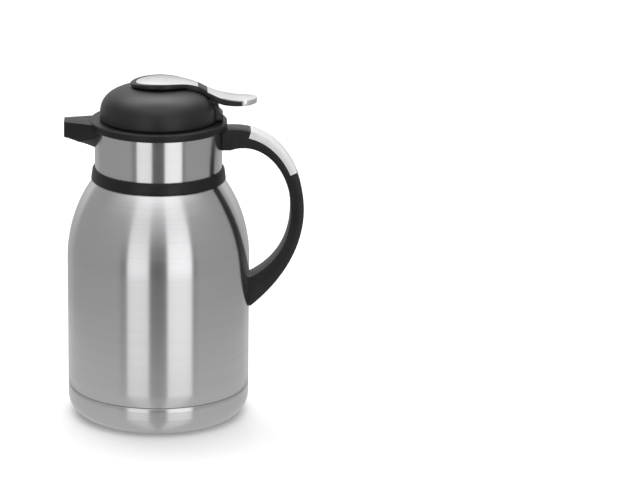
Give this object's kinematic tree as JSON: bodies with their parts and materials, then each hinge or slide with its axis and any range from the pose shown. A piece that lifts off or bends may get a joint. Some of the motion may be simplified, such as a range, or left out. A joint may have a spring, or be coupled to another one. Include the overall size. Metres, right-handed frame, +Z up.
{
  "type": "vacuum serving pot",
  "caption": "Tall vacuum-insulated steel serving pot with a flat spout, curved handle, screw-in domed stopper and a thumb lever that lifts a pour valve.",
  "frame": {"origin": "on the pot's upright axis, in the plane of the ring that it stands on", "axes": "+Z up along the pot's axis, +X towards the handle, -X towards the spout"},
  "size_m": [0.1882, 0.144, 0.2713],
  "materials": {
    "outer_shell": "brushed stainless steel, fine grain round the pot",
    "base_cup": "brushed stainless steel, fine grain round the pot",
    "base_pad": "dark grey rubber",
    "vacuum_seal": "dull brazed metal",
    "liner": "satin stainless steel",
    "getter": "dull sintered metal",
    "neck_ring": "moulded black polypropylene, fine matt grain",
    "collar_band": "brushed stainless steel, fine grain round the pot",
    "pour_collar": "moulded black polypropylene, fine matt grain",
    "mouth_gasket": "soft food-grade silicone",
    "handle_shell": "moulded black polypropylene, fine matt grain",
    "handle_cover": "moulded dark grey plastic, fine matt grain",
    "handle_inlay": "bright satin metal",
    "handle_hook": "plain stainless steel",
    "handle_screws": "plain steel screw",
    "stopper_gasket": "soft food-grade silicone",
    "stopper_body": "moulded black food-grade plastic",
    "stopper_base": "moulded black food-grade plastic",
    "stopper_o_ring": "soft food-grade silicone",
    "lid_dome": "moulded black polypropylene, fine matt grain",
    "lid_insulation": "white rigid foam",
    "lid_screws": "plain steel screw",
    "stem_seal": "soft food-grade silicone",
    "lever_pin": "plain stainless steel",
    "valve_spring": "plain stainless steel",
    "lever_core": "moulded black polypropylene, fine matt grain",
    "lever_disc_plate": "bright satin metal",
    "lever_thumb_plate": "bright satin metal",
    "valve_stem": "plain stainless steel",
    "stem_pin": "plain stainless steel",
    "valve_carrier": "moulded black food-grade plastic",
    "valve_seal": "soft food-grade silicone",
    "valve_retainer": "plain stainless steel"
  },
  "bodies": {
    "pot": {"outer_shell": "outer_shell", "base_cup": "base_cup", "base_pad": "base_pad", "vacuum_seal": "vacuum_seal", "liner": "liner", "getter": "getter", "neck_ring": "neck_ring", "collar_band": "collar_band", "pour_collar": "pour_collar", "mouth_gasket": "mouth_gasket", "handle_shell": "handle_shell", "handle_cover": "handle_cover", "handle_inlay": "handle_inlay", "handle_hook": "handle_hook", "handle_screws": "handle_screws"},
    "gasket": {"stopper_gasket": "stopper_gasket"},
    "lid": {"stopper_body": "stopper_body", "stopper_base": "stopper_base", "stopper_o_ring": "stopper_o_ring", "lid_dome": "lid_dome", "lid_insulation": "lid_insulation", "lid_screws": "lid_screws", "stem_seal": "stem_seal", "lever_pin": "lever_pin", "valve_spring": "valve_spring"},
    "lever": {"lever_core": "lever_core", "lever_disc_plate": "lever_disc_plate", "lever_thumb_plate": "lever_thumb_plate"},
    "valve": {"valve_stem": "valve_stem", "stem_pin": "stem_pin", "valve_carrier": "valve_carrier", "valve_seal": "valve_seal", "valve_retainer": "valve_retainer"}
  },
  "joints": [
    {"name": "lid_rise", "type": "slide", "parent": "pot", "child": "gasket", "axis": [0, 0, 1], "range_m": [0, 0.0661]},
    {"name": "lid_turn", "type": "hinge", "parent": "gasket", "child": "lid", "pos_m": [0, 0, 0.24], "axis": [0, 0, 1], "range_deg": [0, 1080]},
    {"name": "lever_press", "type": "hinge", "parent": "lid", "child": "lever", "pos_m": [0.0355, 0, 0.2566], "axis": [0, 1, 0], "range_deg": [0, 12], "stiffness_Nm_per_rad": 0.75, "springref_deg": -20.05},
    {"name": "valve_lift", "type": "slide", "parent": "lid", "child": "valve", "axis": [0, 0, 1], "range_m": [0, 0.0074], "deforming": ["valve_spring"]}
  ],
  "couplings": [
    {"joint": "lid_rise", "follows": "lid_turn", "m_per_rad": 0.0035014},
    {"joint": "valve_lift", "follows": "lever_press", "m_per_rad": 0.034667}
  ]
}
